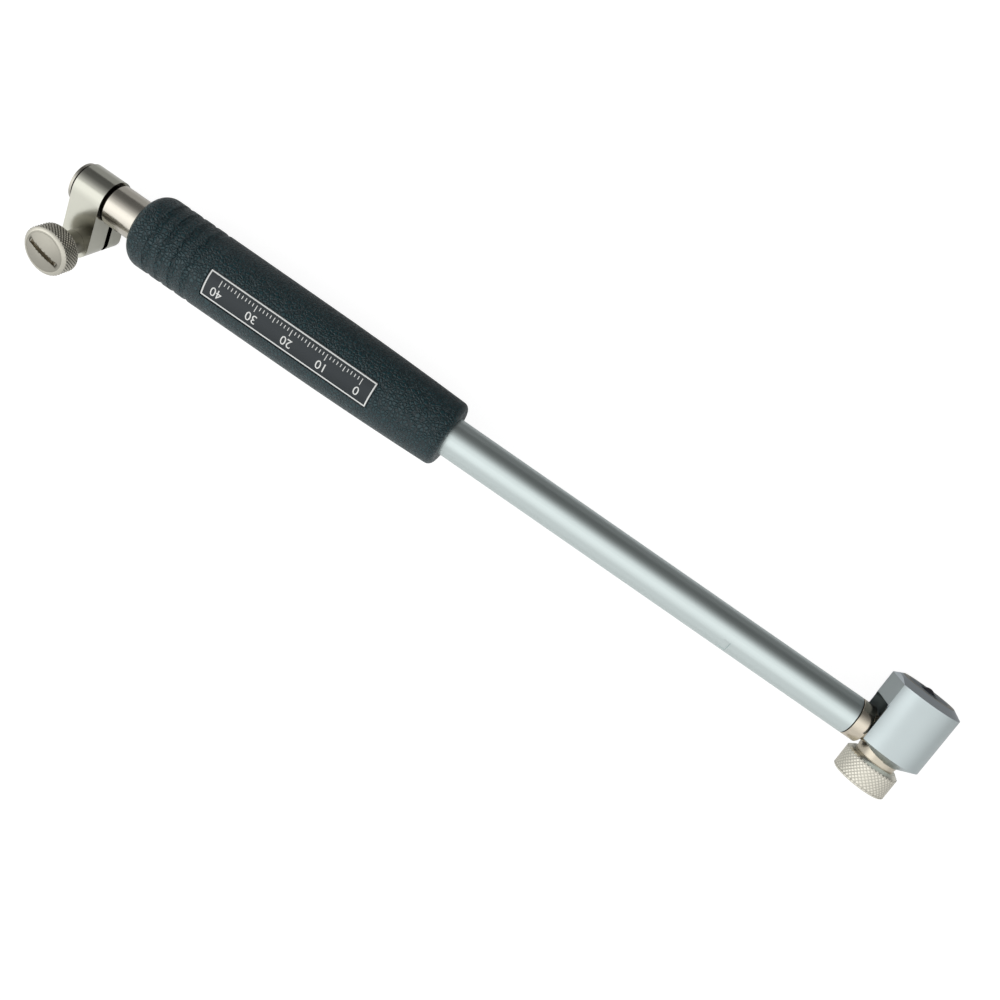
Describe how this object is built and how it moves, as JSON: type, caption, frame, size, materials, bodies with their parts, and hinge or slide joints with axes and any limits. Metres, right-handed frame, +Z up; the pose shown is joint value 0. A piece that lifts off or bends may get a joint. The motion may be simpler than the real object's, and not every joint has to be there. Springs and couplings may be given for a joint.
{
  "type": "dial bore gauge",
  "caption": "Two-point bore gauge body: split clamp for a dial indicator, textured grip, long stem and a cross head with a sprung centring guide, contact and anvil nut.",
  "frame": {"origin": "centre of the mouth of the bore that takes the dial indicator's stem, on the stem's axis", "axes": "+X along the stem from the indicator's end to the head; +Y the way the contact points, along the measuring axis; +Z up, towards the side with the label"},
  "size_m": [0.2865, 0.0449, 0.028],
  "materials": {
    "satin_chrome": "satin",
    "guide_chrome": "satin",
    "nickel": "semi-gloss, brushed",
    "knurled_nickel": "knurled",
    "grip_plastic": "fine leather grain",
    "label_film": "satin print",
    "tool_steel": "ground",
    "spring_steel": "drawn",
    "bronze": "machined",
    "carbide": "lapped"
  },
  "bodies": {
    "frame": {"indicator_sleeve": "nickel", "retaining_ring": "nickel", "grip": "grip_plastic", "label_plate": "label_film", "stem_tube": "satin_chrome", "stem_collar": "nickel", "rod_bushing_upper": "bronze", "rod_bushing_lower": "bronze", "rod_spring": "spring_steel", "head_body": "nickel", "crank_pin": "tool_steel", "guide_screw_upper": "tool_steel", "guide_screw_lower": "tool_steel", "guide_spring_upper": "spring_steel", "guide_spring_lower": "spring_steel", "spacer_washer": "nickel"},
    "clamp": {"clamp_ring": "nickel"},
    "thumb_screw": {"clamp_screw": "knurled_nickel"},
    "contact": {"contact_plunger": "tool_steel", "contact_tip": "carbide"},
    "crank": {"bell_crank": "tool_steel"},
    "rod": {"push_rod": "tool_steel", "rod_head": "tool_steel"},
    "shoe": {"guide": "guide_chrome"},
    "nut": {"anvil_nut": "knurled_nickel"}
  },
  "joints": [
    {"name": "clamp_swivel", "type": "hinge", "parent": "frame", "child": "clamp", "pos_m": [0.0065, 0, 0], "axis": [1, 0, 0], "continuous": true},
    {"name": "clamp_screw_turn", "type": "hinge", "parent": "clamp", "child": "thumb_screw", "pos_m": [0.0065, -0.01547, 0.00034], "axis": [0, -0.4067, 0.9135], "continuous": true},
    {"name": "rod_slide", "type": "slide", "parent": "frame", "child": "rod", "axis": [-1, 0, 0], "range_m": [0, 0.0012], "stiffness_N_per_m": 250, "springref_m": -0.008, "deforming": ["rod_spring"]},
    {"name": "contact_slide", "type": "slide", "parent": "frame", "child": "contact", "axis": [0, -1, 0], "range_m": [0, 0.0012]},
    {"name": "crank_turn", "type": "hinge", "parent": "frame", "child": "crank", "pos_m": [0.2719, 0.0032, 0], "axis": [0, 0, -1], "range_deg": [0, 21.49]},
    {"name": "guide_slide", "type": "slide", "parent": "frame", "child": "shoe", "axis": [0, -1, 0], "range_m": [0, 0.0016], "stiffness_N_per_m": 300, "springref_m": -0.005, "deforming": ["guide_spring_upper", "guide_spring_lower"]},
    {"name": "anvil_nut_turn", "type": "hinge", "parent": "frame", "child": "nut", "pos_m": [0.2751, -0.0106, 0], "axis": [0, 1, 0], "continuous": true}
  ],
  "couplings": [
    {"joint": "contact_slide", "follows": "rod_slide", "ratio": 1},
    {"joint": "crank_turn", "follows": "rod_slide", "rad_per_m": 312.5}
  ]
}
